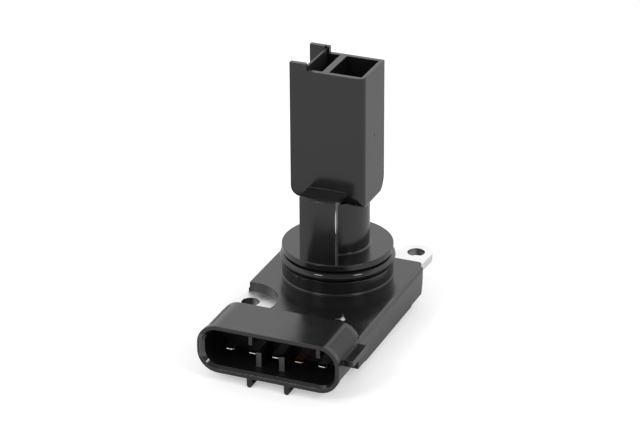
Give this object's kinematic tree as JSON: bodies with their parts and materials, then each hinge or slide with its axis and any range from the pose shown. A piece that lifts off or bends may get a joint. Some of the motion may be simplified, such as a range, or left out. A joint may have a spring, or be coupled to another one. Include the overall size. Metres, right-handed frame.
{
  "type": "mass airflow sensor",
  "caption": "Plug-in mass airflow sensor: flat flange block with a wide sealed connector shroud, round pilot disc with sealing ring, and a tall rectangular probe with open bypass mouths.",
  "frame": {"origin": "on the pilot axis, in the plane of the flange face that seats on the duct", "axes": "+Z along the pilot axis out to the probe's tip, +Y towards the back of the flange and away from the connector's mouth, +X across the connector"},
  "size_m": [0.0397, 0.0696, 0.0686],
  "materials": {
    "housing_plastic": "semi-gloss",
    "cover_plastic": "satin",
    "lid_plastic": "satin",
    "seal_rubber": "matt",
    "seal_gum": "matt",
    "plate_metal": "bright plated",
    "tin": "bright tinned",
    "copper_alloy": "bright",
    "board_laminate": "satin",
    "chip_resin": "matt",
    "capacitor_ceramic": "matt",
    "element_ceramic": "glazed",
    "bead_glass": "glazed"
  },
  "bodies": {
    "root": {"housing": "housing_plastic", "bypass_cover": "cover_plastic", "o_ring": "seal_rubber", "mounting_plate": "plate_metal", "case_lid": "lid_plastic", "lid_seal": "seal_gum", "terminal_1": "tin", "terminal_2": "tin", "terminal_3": "tin", "terminal_4": "copper_alloy", "terminal_5": "tin", "bond_ribbons": "tin", "circuit_board": "board_laminate", "control_chip": "chip_resin", "regulator_chip": "chip_resin", "filter_capacitors": "capacitor_ceramic", "trim_resistors": "chip_resin", "heated_leads": "tin", "reference_leads": "tin", "air_leads": "tin", "heated_element": "element_ceramic", "reference_element": "element_ceramic", "air_thermistor": "bead_glass"}
  },
  "joints": []
}
